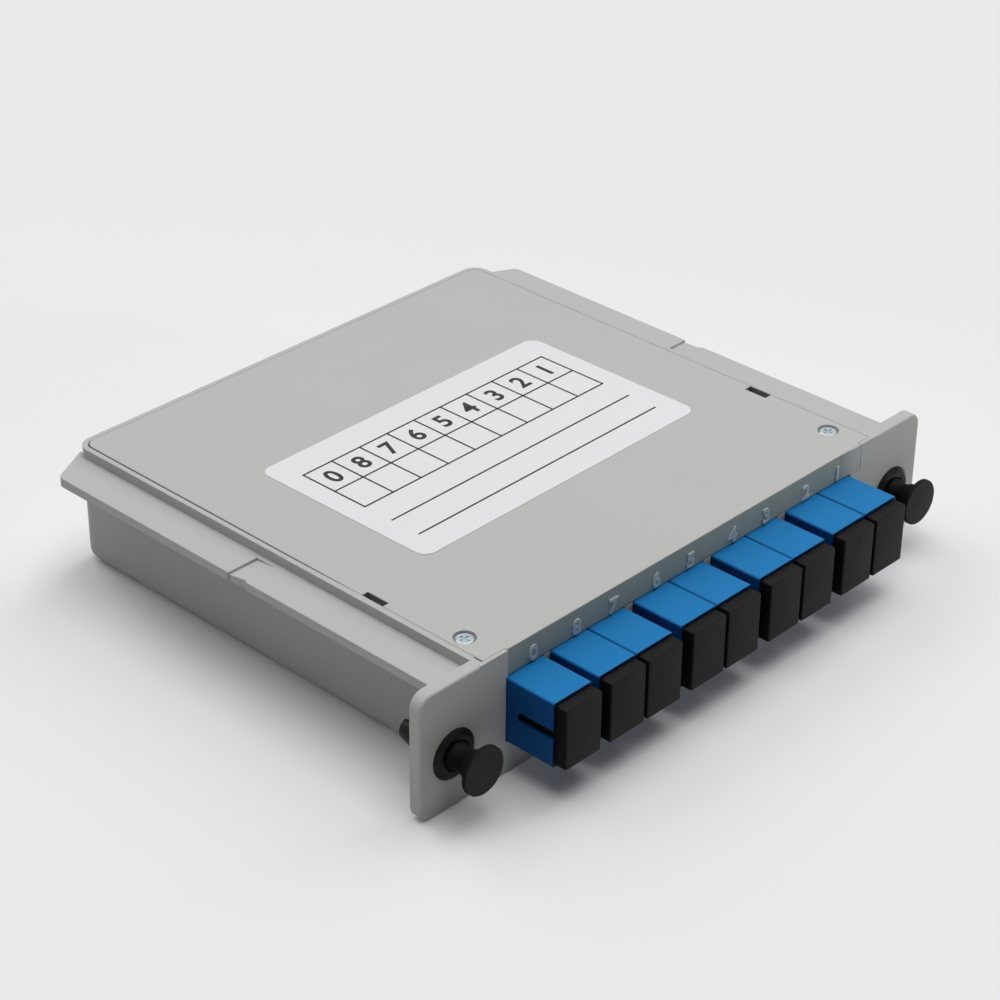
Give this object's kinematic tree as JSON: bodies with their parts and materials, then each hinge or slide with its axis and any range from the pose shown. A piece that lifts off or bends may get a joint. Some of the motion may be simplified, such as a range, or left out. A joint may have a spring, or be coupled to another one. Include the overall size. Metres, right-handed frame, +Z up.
{
  "type": "plc fibre splitter",
  "caption": "Flat plug-in optical splitter cassette: grey moulded box with side rails, a front panel with push-pull latches and a row of blue fibre adapters closed by black dust caps.",
  "frame": {"origin": "centre of the cassette's footprint on its underside, midway between the panel's front face and the rear wall", "axes": "+X along the front panel from the common port towards port 1, +Y from the panel to the rear wall, +Z up through the cover"},
  "size_m": [0.13, 0.1138, 0.0241],
  "materials": {
    "tray_grey": "fine spark-textured moulded ABS",
    "cover_grey": "fine spark-textured moulded ABS",
    "screw_zinc": "bright zinc plate",
    "label_paper": "coated white paper",
    "adapter_blue": "satin moulded plastic",
    "cap_black": "soft satin black plastic",
    "plug_blue": "satin moulded plastic",
    "boot_rubber": "matt rubber",
    "holder_white": "moulded plastic",
    "zirconia": "polished ceramic",
    "nylon_black": "satin black nylon",
    "module_steel": "drawn stainless tube",
    "chip_glass": "ground silica"
  },
  "bodies": {
    "cassette": {"base_tray": "tray_grey", "top_cover": "cover_grey", "cover_screws": "screw_zinc", "cover_label": "label_paper", "adapter_common": "adapter_blue", "inner_plug_common": "plug_blue", "adapter_8": "adapter_blue", "inner_plug_8": "plug_blue", "adapter_7": "adapter_blue", "inner_plug_7": "plug_blue", "adapter_6": "adapter_blue", "inner_plug_6": "plug_blue", "adapter_5": "adapter_blue", "inner_plug_5": "plug_blue", "adapter_4": "adapter_blue", "inner_plug_4": "plug_blue", "adapter_3": "adapter_blue", "inner_plug_3": "plug_blue", "adapter_2": "adapter_blue", "inner_plug_2": "plug_blue", "adapter_1": "adapter_blue", "inner_plug_1": "plug_blue", "sleeve_holders": "holder_white", "ceramic_sleeves": "zirconia", "ferrules": "zirconia", "strain_boots": "boot_rubber", "latch_grommet_left": "nylon_black", "latch_grommet_right": "nylon_black", "module_sleeve": "module_steel", "splitter_chip": "chip_glass", "module_boots": "boot_rubber"},
    "plunger_left": {"latch_plunger_left": "nylon_black"},
    "plunger_right": {"latch_plunger_right": "nylon_black"},
    "cap_common": {"dust_cap_common": "cap_black"},
    "cap_8": {"dust_cap_8": "cap_black"},
    "cap_7": {"dust_cap_7": "cap_black"},
    "cap_6": {"dust_cap_6": "cap_black"},
    "cap_5": {"dust_cap_5": "cap_black"},
    "cap_4": {"dust_cap_4": "cap_black"},
    "cap_3": {"dust_cap_3": "cap_black"},
    "cap_2": {"dust_cap_2": "cap_black"},
    "cap_1": {"dust_cap_1": "cap_black"}
  },
  "joints": [
    {"name": "latch_push_left", "type": "slide", "parent": "cassette", "child": "plunger_left", "axis": [0, 1, 0], "range_m": [0, 0.0028]},
    {"name": "latch_push_right", "type": "slide", "parent": "cassette", "child": "plunger_right", "axis": [0, 1, 0], "range_m": [0, 0.0028]},
    {"name": "cap_pull_common", "type": "slide", "parent": "cassette", "child": "cap_common", "axis": [0, -1, 0], "range_m": [0, 0.012]},
    {"name": "cap_pull_8", "type": "slide", "parent": "cassette", "child": "cap_8", "axis": [0, -1, 0], "range_m": [0, 0.012]},
    {"name": "cap_pull_7", "type": "slide", "parent": "cassette", "child": "cap_7", "axis": [0, -1, 0], "range_m": [0, 0.012]},
    {"name": "cap_pull_6", "type": "slide", "parent": "cassette", "child": "cap_6", "axis": [0, -1, 0], "range_m": [0, 0.012]},
    {"name": "cap_pull_5", "type": "slide", "parent": "cassette", "child": "cap_5", "axis": [0, -1, 0], "range_m": [0, 0.012]},
    {"name": "cap_pull_4", "type": "slide", "parent": "cassette", "child": "cap_4", "axis": [0, -1, 0], "range_m": [0, 0.012]},
    {"name": "cap_pull_3", "type": "slide", "parent": "cassette", "child": "cap_3", "axis": [0, -1, 0], "range_m": [0, 0.012]},
    {"name": "cap_pull_2", "type": "slide", "parent": "cassette", "child": "cap_2", "axis": [0, -1, 0], "range_m": [0, 0.012]},
    {"name": "cap_pull_1", "type": "slide", "parent": "cassette", "child": "cap_1", "axis": [0, -1, 0], "range_m": [0, 0.012]}
  ]
}
